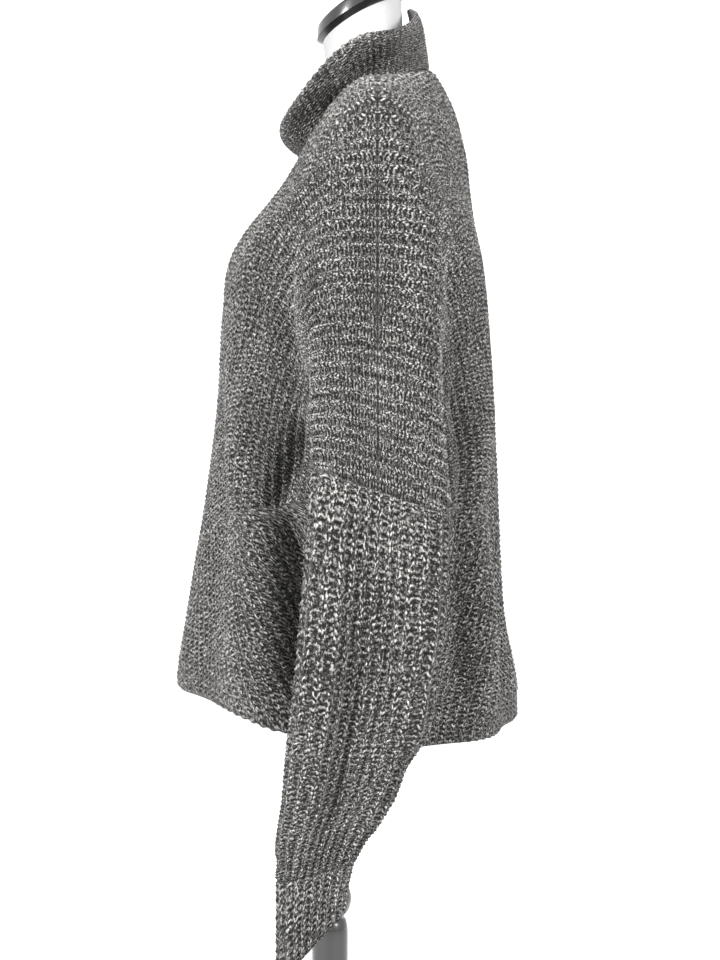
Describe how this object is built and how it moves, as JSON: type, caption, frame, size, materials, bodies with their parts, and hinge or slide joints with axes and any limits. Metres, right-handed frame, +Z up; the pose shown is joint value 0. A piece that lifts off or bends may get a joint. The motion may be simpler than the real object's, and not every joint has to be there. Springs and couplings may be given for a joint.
{
  "type": "chunky turtleneck sweater on a dress form",
  "caption": "Oversized rib-knit sweater with slouched funnel collar, dropped shoulders and long sleeves, worn by a limbless dress form on a round-based stand.",
  "frame": {"origin": "on the floor, under the middle of the stand's pole", "axes": "+Z up, the wearer faces -Y, the wearer's left side is +X"},
  "size_m": [0.5316, 0.358, 1.5278],
  "materials": {
    "yarn": "matte marled grey knit",
    "form_cover": "smooth matte white",
    "black_lacquer": "satin black"
  },
  "bodies": {
    "root": {"front_panel": "yarn", "back_panel": "yarn", "sleeve_left": "yarn", "sleeve_right": "yarn", "cuff_left": "yarn", "cuff_right": "yarn", "collar": "yarn", "form_torso": "form_cover", "neck_cap": "black_lacquer", "stand_pole": "black_lacquer", "stand_base": "black_lacquer"}
  },
  "joints": []
}
